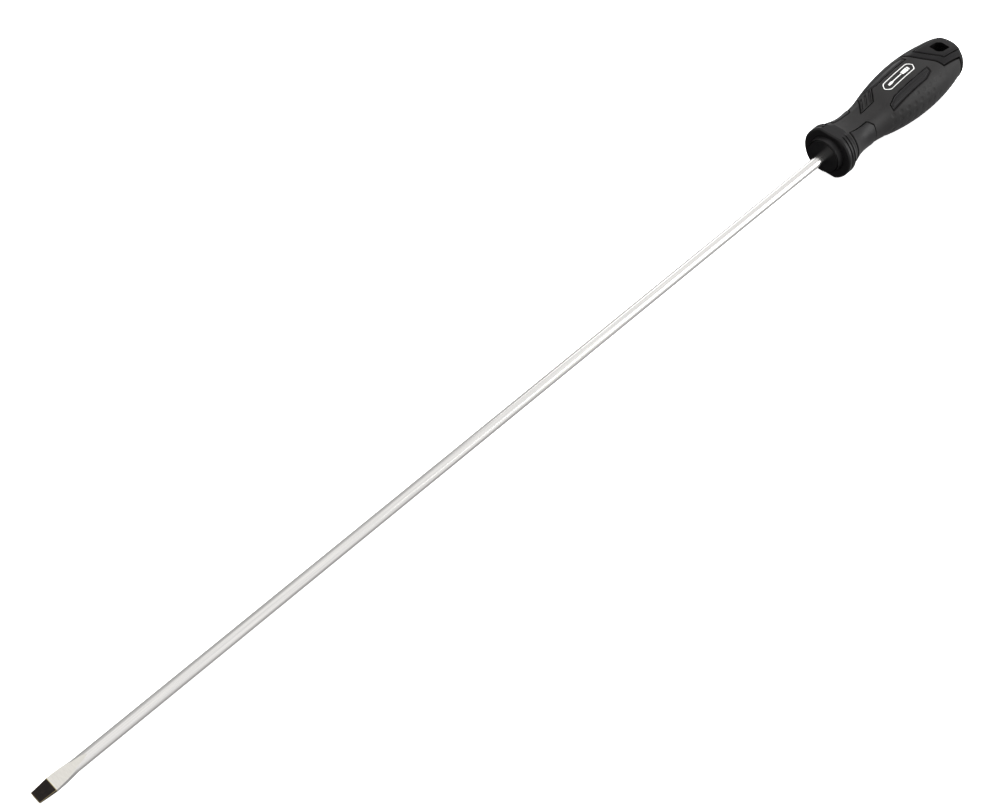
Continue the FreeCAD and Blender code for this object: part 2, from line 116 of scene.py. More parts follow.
for place in (-10.0, WAIST_X, BELLY_X, -100.0):
    side, top = (skin_radius(np.array(place), angle) for angle in (0, math.pi / 2))
    print("x %6.1f: side %.2f, top %.2f" % (place, side, top))

# %% [markdown]
# ## Points that lie on the skin
# A mould opens straight up and down, so the outline of an inlay is drawn in plan and lands on
# the skin below it. Blender could project it with a Shrinkwrap modifier, onto a mesh as fine
# as the one that is wanted. Halving the distance forty times finds the same place exactly.

# %% Land on the skin and face outwards
HALVINGS, PAST_THE_HANDLE = 40, 45.0


def unit(ways):
    """Directions of the same way and of length 1."""
    return ways / np.linalg.norm(ways, axis=-1, keepdims=True)


def past_skin(points):
    """How far points are outside the skin, measured straight out from the axis."""
    x, y, z = np.moveaxis(points, -1, 0)
    return np.hypot(y, z) - skin_radius(x, np.arctan2(z, y))


def land(starts, ways):
    """The places where rays from inside the handle meet its skin, found by halving."""
    near = np.zeros(starts.shape[:-1])
    far = np.full(starts.shape[:-1], PAST_THE_HANDLE)
    for _ in range(HALVINGS):
        middle = (near + far) / 2
        inside = past_skin(starts + ways * middle[..., None]) < 0
        near = np.where(inside, middle, near)
        far = np.where(inside, far, middle)
    return starts + ways * near[..., None]


def outward(points):
    """The skin's direction at each point: how past_skin changes over a hundredth of a mm."""
    steps = np.eye(3) * 0.01
    slopes = np.stack([past_skin(points + step) - past_skin(points - step) for step in steps], axis=-1)
    return unit(slopes)


def from_plan(x, y):
    """The points of the upper face that lie over x and y."""
    starts = np.stack([x, y, np.zeros_like(x)], axis=-1)
    return land(starts, np.broadcast_to([0.0, 0.0, 1.0], starts.shape))


def towards(points):
    """The points of the skin that are seen from the axis, or from the dome's centre, past points."""
    starts = np.zeros_like(points)
    starts[..., 0] = np.maximum(points[..., 0], DOME_X)
    return land(starts, unit(points - starts))


test = from_plan(np.array([-60.0]), np.array([8.0]))
print("over (-60, 8) the skin is at z %.2f and faces %s" % (test[0, 2], np.round(outward(test)[0], 2)))

# %% [markdown]
# ## Outlines in plan
# The band and the cap end in front in a slanted arc; the others are straight-sided. Each
# outline is a few corners. A distance to it serves twice: it rounds the edge of the piece,
# and it lowers the sleeve next to it, which makes the dark seam between two mouldings.

# %% Distances to an outline
def smooth(share):
    """A smooth step from 0 to 1 as share goes from 0 to 1: three squares less two cubes."""
    share = np.clip(share, 0, 1)
    return share ** 2 * (3 - 2 * share)


def inside_by(x, y, corners):
    """Distance inside a convex outline, negative outside: the least of the distances to its sides."""
    corners = np.asarray(corners, float)
    ahead = np.roll(corners, -1, axis=0) - corners
    area = np.sum(corners[:, 0] * np.roll(corners[:, 1], -1) - np.roll(corners[:, 0], -1) * corners[:, 1])
    inward = unit(np.stack([-ahead[:, 1], ahead[:, 0]], axis=1) * np.sign(area))
    offsets = np.sum(inward * corners, axis=1)
    return np.min(x[..., None] * inward[:, 0] + y[..., None] * inward[:, 1] - offsets, axis=-1)


def shrunk(corners, gap):
    """A convex outline with every side moved inwards by gap, met again at its corners."""
    corners = np.asarray(corners, float)
    before = unit(corners - np.roll(corners, 1, axis=0))
    after = unit(np.roll(corners, -1, axis=0) - corners)
    turning = before[:, 0] * after[:, 1] - before[:, 1] * after[:, 0]
    return corners + (after - before) * (gap / np.abs(turning))[:, None]


def rear_circle(near_x, far_x, edge):
    """The circle of a slanted front edge that runs from (near_x, edge) to (far_x, -edge)."""
    half_x = (far_x - near_x) / 2
    half_chord = math.hypot(half_x, edge)
    depth = math.sqrt(FRONT_CURVE ** 2 - half_chord ** 2) / half_chord
    return (near_x + far_x) / 2 - edge * depth, -half_x * depth


FRONT_CURVE = 76.0
BAND_EDGE, CAP_EDGE, RING_X = 10.1, 6.9, BUTT_X + 9.0
BAND_CENTRE = rear_circle(BUTT_X + 24.0, BUTT_X + 35.9, BAND_EDGE)
CAP_CENTRE = rear_circle(BUTT_X + 20.3, BUTT_X + 29.5, CAP_EDGE)


def front_edge_x(y, centre, curve=FRONT_CURVE):
    """Where a slanted front edge is at y: on its circle, in front of the centre."""
    return centre[0] + np.sqrt(curve ** 2 - (y - centre[1]) ** 2)


near_x, far_x = (front_edge_x(y, BAND_CENTRE) for y in (BAND_EDGE, -BAND_EDGE))
print("band edge from x %.1f to %.1f" % (near_x, far_x))

# %% Outlines of the inlays, the thumb pads and the hang hole
LEFT_REAR, RIGHT_REAR = BUTT_X + 34.6, BUTT_X + 34.6 + 2.6
INLAY_FRONT, INLAY_INNER, INLAY_OUTER, INLAY_TAPER, INLAY_CLIP = -42.0, 6.0, 10.1, 5.2, 1.5


def inlay_outline(rear, side):
    """Six corners of an inlay on the side +1 or -1: both ends are cut square and then aslant."""
    return [
        (INLAY_FRONT, side * INLAY_OUTER),
        (INLAY_FRONT, side * (INLAY_INNER + INLAY_CLIP)),
        (INLAY_FRONT - INLAY_TAPER, side * INLAY_INNER),
        (rear, side * INLAY_INNER),
        (rear, side * (INLAY_OUTER - INLAY_CLIP)),
        (rear + INLAY_TAPER, side * INLAY_OUTER),
    ]


THUMB_FRONT, THUMB_LENGTH, THUMB_WIDTH, THUMB_START, THUMB_SLANT = -27.3, 10.3, 9.6, 0.4, 10.0
REAR_SHARE = 0.72
THUMB = [
    (THUMB_FRONT, -THUMB_START),
    (THUMB_FRONT - THUMB_LENGTH, -THUMB_START),
    (THUMB_FRONT - THUMB_LENGTH - REAR_SHARE * THUMB_SLANT, -THUMB_START - REAR_SHARE * THUMB_WIDTH),
    (THUMB_FRONT - THUMB_SLANT, -THUMB_START - THUMB_WIDTH),
]
EYE_X, EYE_Y, EYE_LENGTH, EYE_WIDTH = BUTT_X + 14.9, 0.3, 10.0, 7.5
EYE_LEAN, EYE_SLANT, EYE_CLIP = 0.5, 6.9, 1.9
eye_half = [
    (EYE_LENGTH / 2 - EYE_LEAN, -EYE_WIDTH / 2),
    (EYE_LENGTH / 2 - EYE_LEAN - EYE_SLANT, -EYE_WIDTH / 2),
    (-EYE_LENGTH / 2, -EYE_WIDTH / 2 + EYE_CLIP),
]
EYE = [(EYE_X + a, EYE_Y + b) for a, b in eye_half] + [(EYE_X - a, EYE_Y - b) for a, b in eye_half]
print("outlines: inlays %d corners, thumb pad %d, hang hole %d" % (6, len(THUMB), len(EYE)))

# %% [markdown]
# ## From grids to pieces
# Every new piece is a grid of points, worked out as whole arrays. A moulding is a shell: an
# outer grid, an inner grid behind it, and walls between their borders. A turned piece is one
# grid that closes round the axis. Solidify could thicken a sheet, but the walls here have
# to be straight, so the inner grid is worked out too. The signed volume of the finished mesh
# tells whether its faces point outwards.

# %% Grids into meshes
def cell_corners(rows, columns, round_rows, round_columns):
    """Corner numbers of each cell of a grid; a round direction joins its end to its start."""
    index = np.arange(rows * columns).reshape(rows, columns)
    index = np.concatenate([index, index[:1]], axis=0) if round_rows else index
    index = np.concatenate([index, index[:, :1]], axis=1) if round_columns else index
    cells = [index[:-1, :-1], index[1:, :-1], index[1:, 1:], index[:-1, 1:]]
    return np.stack(cells, axis=-1).reshape(-1, 4)


def shell(outer, inner, round_columns=False):
    """The closed skin of the space between two grids. Its walls stand on the cells' sides that
    have no neighbour."""
    count = outer.shape[0] * outer.shape[1]
    cells = cell_corners(outer.shape[0], outer.shape[1], False, round_columns)
    sides = np.concatenate([cells[:, [k, (k + 1) % 4]] for k in range(4)])
    keys = sides[:, 0] * count + sides[:, 1]
    alone = ~np.isin(keys, sides[:, 1] * count + sides[:, 0])
    start, end = sides[alone, 0], sides[alone, 1]
    walls = np.stack([end, start, start + count, end + count], axis=-1)
    points = np.concatenate([outer.reshape(-1, 3), inner.reshape(-1, 3)])
    return points, np.concatenate([cells, cells[:, ::-1] + count, walls])


def turned(grid, round_rows=False):
    """One grid that closes round its columns, and round its rows too for a ring."""
    return grid.reshape(-1, 3), cell_corners(grid.shape[0], grid.shape[1], round_rows, True)


def volume_of(points, faces):
    """Signed volume in mm3: each face's two triangles, as pyramids from the origin."""
    a, b, c, d = (points[faces[:, k]] for k in range(4))
    return np.sum(a * np.cross(b, c) + a * np.cross(c, d)) / 6


def half_turned(points):
    """The same points turned half round about the handle's axis."""
    return points * np.array([1.0, -1.0, -1.0])


# %% Meshes into pieces of the tool
WELD = 0.002
CREASE_ANGLE = 35.0
CUTTER_REACH = 24.0


def welded(mesh):
    """Merge points that coincide, at seams and poles, and drop the empty faces there."""
    work = bmesh.new()
    work.from_mesh(mesh)
    bmesh.ops.remove_doubles(work, verts=work.verts, dist=WELD * MM)
    bmesh.ops.dissolve_degenerate(work, edges=work.edges, dist=WELD * MM / 4)
    work.to_mesh(mesh)
    work.free()


def put(name, data):
    """A new object with its data, in the scene."""
    made = bpy.data.objects.new(name, data)
    bpy.context.scene.collection.objects.link(made)
    return made


def closed_mesh(name, points, faces):
    """A mesh in metres from points in millimetres, its faces turned outwards."""
    if volume_of(points, faces) < 0:
        faces = faces[:, ::-1]
    mesh = bpy.data.meshes.new(name)
    mesh.from_pydata(points * MM, [], faces)
    return mesh


def shaded(mesh, crease):
    """Smooth shading, broken where two faces meet at more than the crease angle, in degrees."""
    mesh.shade_smooth()
    mesh.set_sharp_from_angle(angle=math.radians(crease))


def make_piece(name, points, faces, stands_for, slot, material,
               weld=False, marks=None, crease=CREASE_ANGLE):
    """A mesh piece, riding on the tool in the place of its CAD node. Marks are shares, one for
    each point, that a material reads by their name."""
    mesh = closed_mesh(name, points, faces)
    for mark, shares in (marks or {}).items():
        mesh.attributes.new(mark, "FLOAT", "POINT").data.foreach_set("value", np.float32(shares).ravel())
    if weld:
        welded(mesh)
    shaded(mesh, crease)
    mesh.materials.append(material)
    piece = put(name, mesh)
    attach(piece, "root")
    if stands_for:
        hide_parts(stands_for)
    print("%-26s %6d faces" % (name, len(mesh.polygons)))
    return piece


def cut_through(piece, cutter_points, cutter_faces):
    """Take a closed shape away from a piece, and keep the result as its mesh."""
    mesh = closed_mesh("cutter", cutter_points, cutter_faces)
    welded(mesh)
    cutter = put("cutter", mesh)
    cut = piece.modifiers.new("cut", "BOOLEAN")
    cut.object = cutter
    cut.operation = "DIFFERENCE"
    cut.solver = "MANIFOLD"
    seen = piece.evaluated_get(bpy.context.evaluated_depsgraph_get())
    result = bpy.data.meshes.new_from_object(seen)
    piece.modifiers.clear()
    piece.data = result
    bpy.data.objects.remove(cutter)
    shaded(result, CREASE_ANGLE)
    print("%-26s %6d faces after the cut" % (piece.name, len(result.polygons)))


def straight_prism(corners):
    """A closed prism on a plan outline, right through the handle, its ends drawn in to a point."""
    corners = np.asarray(corners, float)
    middle = np.broadcast_to(corners.mean(axis=0), corners.shape)
    levels = [(middle, -1), (corners, -1), (corners, 1), (middle, 1)]
    rows = [np.column_stack([flat, np.full(len(corners), CUTTER_REACH * way)]) for flat, way in levels]
    return turned(np.stack(rows))


# %% [markdown]
# ## Finishes
# Two plastics, a darker copy of one for painted shade, and two steels make the tool. A real
# finish is never one colour: moulded plastic has a spark-eroded grain and flow marks, soft
# rubber holds dust, and a plated bar keeps the lengthwise lines of its polishing. Each material
# here starts from its known index of refraction and a typical roughness, and its patterns are sized from
# real grains.

# %% Helpers for node materials
def linear(hex_colour):
    """An sRGB hex colour as linear red, green, blue and 1."""
    parts = [int(hex_colour[k:k + 2], 16) / 255 for k in (1, 3, 5)]
    return tuple(p / 12.92 if p <= 0.04045 else ((p + 0.055) / 1.055) ** 2.4 for p in parts) + (1.0,)


def add(tree, kind, inputs=None, **settings):
    """Add a node with its settings, and give each input a value or a link."""
    made = tree.nodes.new(kind)
    for name, setting in settings.items():
        setattr(made, name, setting)
    for name, given in (inputs or {}).items():
        if isinstance(given, bpy.types.NodeSocket):
            tree.links.new(given, made.inputs[name])
        else:
            made.inputs[name].default_value = given
    return made


def per_mm(size):
    """The scale of a pattern in metres whose marks are size millimetres."""
    return 1 / (size * MM)


def new_material(name, **shader):
    """A material with its principled shader set, and object coordinates to draw on it."""
    material = bpy.data.materials.new(name)
    material.use_nodes = True
    tree = material.node_tree
    principled = tree.nodes["Principled BSDF"]
    for socket, given in shader.items():
        principled.inputs[socket.replace("_", " ")].default_value = given
    place = tree.nodes.new("ShaderNodeTexCoord").outputs["Object"]
    return material, tree, principled, place


def noise(tree, place, size, detail=2.0, stretch=(1.0, 1.0, 1.0)):
    """Noise with marks of size millimetres, drawn out along an axis where stretch is small."""
    moved = add(tree, "ShaderNodeMapping", {"Vector": place, "Scale": stretch}).outputs["Vector"]
    made = add(tree, "ShaderNodeTexNoise", {"Vector": moved, "Scale": per_mm(size), "Detail": detail})
    return made.outputs["Fac"]


def between(tree, factor, low, high):
    """A value that goes from low to high as the factor goes from a quarter to three quarters."""
    ranges = {"Value": factor, "From Min": 0.25, "From Max": 0.75, "To Min": low, "To Max": high}
    return add(tree, "ShaderNodeMapRange", ranges).outputs["Result"]


def blend_colours(tree, factor, first, second):
    """The first colour where the factor is 0, and the second where it is 1."""
    made = add(tree, "ShaderNodeMix", {"Factor": factor}, data_type="RGBA")
    for socket, given in ((made.inputs[6], first), (made.inputs[7], second)):
        if isinstance(given, bpy.types.NodeSocket):
            tree.links.new(given, socket)
        else:
            socket.default_value = given
    return made.outputs[2]


def relief(tree, shader, height, strength, depth):
    """Give the surface the relief of a pattern, depth millimetres at the most."""
    bump = {"Height": height, "Strength": strength, "Distance": depth * MM}
    tree.links.new(add(tree, "ShaderNodeBump", bump).outputs["Normal"], shader.inputs["Normal"])


# %% [markdown]
# ### Moulded plastics
# The hard pieces are polypropylene, moulded in a spark-eroded mould: near-black, with a fine grain
# that turns a reflection into a broad grey sheen. The band and the cap take a darker, less glossy
# copy of it as painted shade. The grip is a thermoplastic rubber: paler, duller and unevenly matt.

# %% Hard and soft plastic
def moulded_plastic(name, dark, pale, ior, gloss, roughness, grain, depth):
    """A black moulding: patchy colour, uneven roughness, and a grain of real size. Its gloss is
    below one half because the grain shades itself at a shallow angle."""
    material, tree, shader, place = new_material(name, IOR=ior, Specular_IOR_Level=gloss)
    patches = noise(tree, place, 9.0, 3.0)
    tone = between(tree, patches, 0.0, 0.75)
    colour = blend_colours(tree, tone, linear(dark), linear(pale))
    tree.links.new(colour, shader.inputs["Base Color"])
    rough = between(tree, noise(tree, place, 3.5, 4.0), roughness - 0.05, roughness + 0.05)
    tree.links.new(rough, shader.inputs["Roughness"])
    relief(tree, shader, noise(tree, place, grain, 2.0), 0.5, depth)
    return material


polypropylene = moulded_plastic("moulded_polypropylene", "#121112", "#191819", 1.49, 0.28, 0.36, 0.45, 0.02)
# A darker, less glossy copy of the polypropylene: painted shade on the band and the cap.
painted_shade_plastic = moulded_plastic("painted_shade_polypropylene", "#0e0d0e", "#161516", 1.49, 0.12, 0.40, 0.45, 0.02)
grip_rubber = moulded_plastic("soft_grip_rubber", "#1b1a1a", "#242323", 1.50, 0.26, 0.48, 0.38, 0.03)
print("plastics:", polypropylene.name, painted_shade_plastic.name, grip_rubber.name)

# %% [markdown]
# ### Steels
# The bar is chrome on a polished steel: a mirror with faint lines along it. The faces of the
# tip are ground and then plated thinly, so they are warmer and duller, with marks across them.
# The end is dipped in a black phosphate, with a painted beige highlight along its edges.

# %% Chrome, ground steel and blackened steel
GROUND = "ground"


def chrome_plate():
    """Polished chrome with lengthwise lines, and dull crosswise grinding where GROUND is 1."""
    material, tree, shader, place = new_material("chrome_plated_steel", Metallic=1.0)
    along = noise(tree, place, 0.5, 3.0, (0.012, 1.0, 1.0))
    across = noise(tree, place, 0.3, 2.0, (1.0, 0.08, 0.5))
    ground = add(tree, "ShaderNodeAttribute", attribute_name=GROUND).outputs["Fac"]
    bright = blend_colours(tree, between(tree, along, 0.0, 1.0), linear("#e4e2e0"), linear("#f8f6f3"))
    dull = blend_colours(tree, between(tree, across, 0.0, 1.0), linear("#e4e1da"), linear("#f3f0e9"))
    tree.links.new(blend_colours(tree, ground, bright, dull), shader.inputs["Base Color"])
    smooth = between(tree, along, 0.14, 0.24)
    scratched = between(tree, across, 0.34, 0.46)
    mixed = {"Factor": ground, "A": smooth, "B": scratched}
    tree.links.new(add(tree, "ShaderNodeMix", mixed).outputs["Result"], shader.inputs["Roughness"])
    relief(tree, shader, across, ground, 0.01)
    return material


PAINTED_GLINT = "painted_glint"


def black_phosphate():
    """Dipped black with a brownish cast, and a painted beige edge highlight where the mark is 1."""
    material, tree, shader, place = new_material("black_phosphated_steel", IOR=1.6, Specular_IOR_Level=0.12)
    cloud = noise(tree, place, 1.6, 4.0)
    painted_glint = add(tree, "ShaderNodeAttribute", attribute_name=PAINTED_GLINT).outputs["Fac"]
    dark = blend_colours(tree, between(tree, cloud, 0.0, 1.0), linear("#0d0908"), linear("#1d1613"))
    # The beige is a painted highlight on the edges.
    tree.links.new(blend_colours(tree, painted_glint, dark, linear("#a89b72")), shader.inputs["Base Color"])
    tree.links.new(between(tree, cloud, 0.38, 0.55), shader.inputs["Roughness"])
    relief(tree, shader, noise(tree, place, 0.25), 0.4, 0.02)
    return material


def white_pad_print():
    """White ink, printed by a soft pad, so it is a little thinner in places."""
    material, tree, shader, place = new_material("white_pad_print", IOR=1.5)
    thin = between(tree, noise(tree, place, 0.8, 3.0), 0.0, 1.0)
    colour = blend_colours(tree, thin, linear("#dededc"), linear("#f4f4f2"))
    tree.links.new(colour, shader.inputs["Base Color"])
    tree.links.new(between(tree, thin, 0.45, 0.6), shader.inputs["Roughness"])
    return material


chrome = chrome_plate()
blacking = black_phosphate()
print_ink = white_pad_print()
print("steels and ink:", chrome.name, blacking.name, print_ink.name)

# %% [markdown]
# ## The soft sleeve
# The sleeve is moulded over the core last, round all the hard pieces, so each of them lies in
# a shallow bed. Cutting the beds with booleans would give hard, thin slivers. Instead the
# sleeve's grid of points sinks by a smooth step wherever an outline lies over it: a moulded
# edge is never sharper than a few tenths of a millimetre anyway.

# %% Beds that the hard pieces lie in
SEAM, BED_EDGE = 0.22, 0.42
BAND_BED, CAP_BED, NECK_BED, INLAY_BED = 1.9, 1.9, 1.2, 1.3
PAD_FRONT, PAD_REAR, PAD_EDGE, PAD_CLIP, PAST_THE_SIDE = -9.8, -27.4, 5.4, 3.0, 30.0
NECK_PLAN = [(PAD_FRONT, PAD_EDGE), (PAD_FRONT, PAST_THE_SIDE), (PAD_REAR, PAST_THE_SIDE),
             (PAD_REAR, PAD_EDGE + PAD_CLIP), (PAD_REAR + PAD_CLIP, PAD_EDGE)]


def bed(inside, depth):
    """A smooth step down: from nothing, BED_EDGE outside the outline, to depth at the outline."""
    return depth * smooth((inside + BED_EDGE) / BED_EDGE)


def inside_zone(x, y, centre, edge):
    """Distance inside the band's or cap's strip: behind its slanted edge, between its sides."""
    behind = FRONT_CURVE - np.hypot(x - centre[0], y - centre[1])
    return np.minimum(behind, edge - np.abs(y))


def sleeve_sinks(points):
    """Depth of the beds at each point. The lower face is the upper one turned half round."""
    x, y, z = np.moveaxis(points, -1, 0)
    y = np.where(z < 0, -y, y)
    band = np.maximum(inside_zone(x, y, BAND_CENTRE, BAND_EDGE), RING_X - x)
    beds = [bed(band, BAND_BED), bed(inside_by(x, np.abs(y), NECK_PLAN), NECK_BED)]
    for outline in (THUMB, inlay_outline(LEFT_REAR, 1), inlay_outline(RIGHT_REAR, -1)):
        beds.append(bed(inside_by(x, y, outline), INLAY_BED))
    return np.max(beds, axis=0)


print("an inlay's bed is %.2f deep at half its edge" % bed(np.array(-BED_EDGE / 2), INLAY_BED))

# %% [markdown]
# ### Dimples
# Both sides have rows of small round dimples, each a shallow dish that shows as a crescent
# where light grazes it. Bump could fake them, but they would vanish at the outline, so the
# grid is fine enough to hold them. The rows lie level, as a cutter leaves them.

# %% Rows of dimples
DIMPLE_SIZE, DIMPLE_PITCH, DIMPLE_DEPTH, DIMPLE_EDGE = 2.9, 5.05, 0.16, 0.6
DIMPLE_ROWS = [(-59.6, 5, 10.05), (-41.0, 7, 6.3), (-41.0, 8, 2.2)]


def dimple_sinks(points):
    """Depth of the dimples: a smooth step of the distance from the middle of the nearest one,
    measured along the axis and up the side of the handle."""
    x, y, z = np.moveaxis(points, -1, 0)
    radius = np.hypot(y, z)
    depth = np.zeros(x.shape)
    for start, count, height in DIMPLE_ROWS:
        middles = start - DIMPLE_PITCH * np.arange(count)
        nearest = middles[np.argmin(np.abs(x[..., None] - middles), axis=-1)]
        row = np.arcsin(np.clip(height / radius, 0, 1))
        up = radius * (np.arcsin(np.clip(np.abs(z) / radius, 0, 1)) - row)
        depth += DIMPLE_DEPTH * smooth((DIMPLE_SIZE / 2 - np.hypot(x - nearest, up)) / DIMPLE_EDGE)
    return depth


print("dimples on each quarter:", sum(count for _, count, _ in DIMPLE_ROWS))

# %% Make the sleeve
SLEEVE_FRONT, SLEEVE_REAR = -7.6, RING_X - 0.3
SLEEVE_ROWS, SLEEVE_COLUMNS, INNER_ROWS, SKIN = 290, 304, 10, 2.5


def round_points(x, radius, angle):
    """Points at x, and at radius and angle about the axis."""
    return np.stack([np.broadcast_to(x, radius.shape), radius * np.cos(angle), radius * np.sin(angle)], -1)


def skin_points(x, angle):
    """Points of the skin at x and angle."""
    return round_points(x, skin_radius(x, angle), angle)


def around(count):
    """Equal steps of angle once round the axis, from the left side upwards."""
    return np.linspace(0, 2 * math.pi, count, endpoint=False)


outer_x, outer_angle = np.meshgrid(
    np.linspace(SLEEVE_FRONT, SLEEVE_REAR, SLEEVE_ROWS), around(SLEEVE_COLUMNS), indexing="ij")
outer = skin_points(outer_x, outer_angle)
sink = np.maximum(sleeve_sinks(outer), dimple_sinks(outer))
inner_x, inner_angle = np.meshgrid(
    np.linspace(SLEEVE_REAR, SLEEVE_FRONT, INNER_ROWS), around(SLEEVE_COLUMNS), indexing="ij")
inner = skin_points(inner_x, inner_angle)
inner = inner - np.array([0, 1, 1]) * outward(inner) * SKIN
sleeve_grid = np.concatenate([outer - outward(outer) * sink[..., None], inner])
points, faces = turned(sleeve_grid, round_rows=True)
sleeve = make_piece("sleeve_moulding", points, faces, "grip_sleeve", "soft_grip", grip_rubber)
OPENING_FRONT, OPENING_REAR, OPENING_EDGE = BUTT_X + 22, BUTT_X + 5, 8.2
OPENING = [(x, y) for x, side in ((OPENING_FRONT, -1), (OPENING_REAR, 1))
           for y in (side * OPENING_EDGE, -side * OPENING_EDGE)]
cut_through(sleeve, *straight_prism(OPENING))

# %% [markdown]
# ## The hard pieces in the sleeve
# Neck pads, inlays and thumb pads are thin caps that follow the skin. Their edges are
# rounded by a circle, as the edge of a mould cavity is. Each is a shell between its outer
# face and a bed face, a little smaller than its bed, so a dark seam stays round it.

# %% Steps across a piece, and its rounded edge
ROUNDING = 0.32


def eased_steps(length, spacing, rounding=ROUNDING):
    """Places from 0 to 1 along a length: close together on the rounded borders, even between."""
    border = np.array([0.0, 0.06, 0.22, 0.5, 1.0]) * rounding / length
    inside = np.linspace(border[-1], 1 - border[-1], max(int(length / spacing), 2))
    return np.concatenate([border[:-1], inside, 1 - border[-2::-1]])


def edge_drop(inside, rounding=ROUNDING):
    """How far a rounded edge falls away: a quarter circle within the rounding's distance."""
    share = np.clip(1 - inside / rounding, 0, 1)
    return rounding * (1 - np.sqrt(1 - share ** 2))


def moulded_cap(points, lift, depth, round_columns=False):
    """A shell that follows the skin: raised by lift outside, and depth deep."""
    facing = outward(points)
    return shell(points + facing * lift[..., None], points - facing * depth, round_columns)


def make_pair(nodes, points, faces, slot, material):
    """Two pieces of the handle: the first as it is, and the second turned half round."""
    for node, placed in zip(nodes, (points, half_turned(points))):
        make_piece(node + "_moulding", placed, faces, node, slot, material, weld=True)


print("eased steps:", np.round(eased_steps(10.0, 1.0), 3))

# %% Inlays
MOAT_WIDTH, MOAT_SLOPE, MOAT_DEPTH = 0.65, 0.3, 0.36


def inlay(rear, side):
    """An inlay between its inner and outer lines, which are straight between its corners. A
    moat runs round inside its edge, and leaves a raised panel in the middle."""
    corners = shrunk(inlay_outline(rear, side), SEAM)
    front_outer, front_inner, bend, rear_inner, rear_outer, outer_bend = corners
    along = eased_steps(front_outer[0] - rear_inner[0], 0.24)
    x = front_outer[0] + (rear_inner[0] - front_outer[0]) * along
    lines = []
    for line in ([rear_inner, bend, front_inner], [rear_outer, outer_bend, front_outer]):
        line_x, line_y = np.transpose(line)
        lines.append(np.interp(x, line_x, line_y))
    across = eased_steps(INLAY_OUTER - INLAY_INNER, 0.16)
    y = lines[0][:, None] + (lines[1] - lines[0])[:, None] * across
    x = np.broadcast_to(x[:, None], y.shape)
    inside = inside_by(x, y, corners)
    panel = smooth((inside - MOAT_WIDTH) / MOAT_SLOPE)
    moat = MOAT_DEPTH * np.clip(inside / MOAT_SLOPE, 0, 1) * (1 - panel)
    return moulded_cap(from_plan(x, y), -edge_drop(inside) - moat, INLAY_BED)


for side_name, rear, side in (("left", LEFT_REAR, 1), ("right", RIGHT_REAR, -1)):
    nodes = ["shoulder_inlay_%s_%s" % (face_name, side_name) for face_name in ("upper", "lower")]
    make_pair(nodes, *inlay(rear, side), "rigid_plastic", polypropylene)

# %% Thumb pads
SLOT_WIDTH, SLOT_DEPTH, SLOT_MARGIN, SLOT_EDGE, SLOT_COUNT, FIRST_SLOT = 1.0, 0.75, 1.1, 0.35, 3, 0.42


def slot_sinks(x, y):
    """Depth of the thumb pad's slots: straight grooves along its slant, with rounded ends."""
    slant = THUMB_SLANT / THUMB_WIDTH
    run = -y - THUMB_START
    place = THUMB_FRONT - x - run * slant
    pitch = THUMB_LENGTH / SLOT_COUNT
    middles = pitch * (np.arange(SLOT_COUNT) + FIRST_SLOT)
    off = np.min(np.abs(place[..., None] - middles), axis=-1) / math.hypot(1, slant)
    past_end = np.maximum(SLOT_MARGIN - run, run - (REAR_SHARE * THUMB_WIDTH - SLOT_MARGIN * 0.4))
    reach = np.hypot(off, np.maximum(past_end, 0)) - SLOT_WIDTH / 2
    return SLOT_DEPTH * smooth(0.5 - reach / SLOT_EDGE)


corners = shrunk(THUMB, SEAM)
along, across = np.meshgrid(eased_steps(THUMB_LENGTH, 0.13), eased_steps(12.0, 0.16), indexing="ij")
near_line = corners[0] + (corners[1] - corners[0]) * along[..., None]
far_line = corners[3] + (corners[2] - corners[3]) * along[..., None]
thumb_plan = near_line + (far_line - near_line) * across[..., None]
x, y = thumb_plan[..., 0], thumb_plan[..., 1]
lift = -edge_drop(inside_by(x, y, corners)) - slot_sinks(x, y)
points, faces = moulded_cap(from_plan(x, y), lift, INLAY_BED)
make_pair(["thumb_pad_upper", "thumb_pad_lower"], points, faces, "soft_grip", grip_rubber)

# %% Neck pads
PAD_PROUD, PAD_ROUNDING, PAD_DEPTH = 0.4, 0.45, 1.1
front, rear = PAD_FRONT - SEAM, PAD_REAR + SEAM
x = front + (rear - front) * eased_steps(front - rear, 0.3)
edge_y = PAD_EDGE + SEAM + np.clip(PAD_REAR + PAD_CLIP - x, 0, None)
edge_point = from_plan(x, edge_y)
half_turn = np.arctan2(edge_point[:, 2], edge_point[:, 1])
across = eased_steps(26.0, 0.4)
angle = half_turn[:, None] * (1 - 2 * across)
x = np.broadcast_to(x[:, None], angle.shape)
points = skin_points(x, angle)
to_edge = (half_turn[:, None] - np.abs(angle)) * np.hypot(points[..., 1], points[..., 2])
inside = np.minimum(np.minimum(front - x, x - rear), to_edge)
points, faces = moulded_cap(points, PAD_PROUD - edge_drop(inside, PAD_ROUNDING), PAD_DEPTH)
make_pair(["neck_pad_left", "neck_pad_right"], points, faces, "rigid_plastic", polypropylene)

# %% [markdown]
# ## The band and the end cap
# Both wrap over the rear end, from the upper face to the lower one. The cap is a strip that
# goes over the dome, so its grid has one direction across the handle and the other over the
# end. The band is a loop between two outlines. Its grid goes round with them and is carried
# straight from one to the other, then lands on the skin.

# %% Ways over the rear end
BAND_PROUD, CAP_PROUD, BAND_ROUNDING, CAP_ROUNDING, BAND_DEPTH = 0.2, 0.4, 0.6, 0.65, 1.7


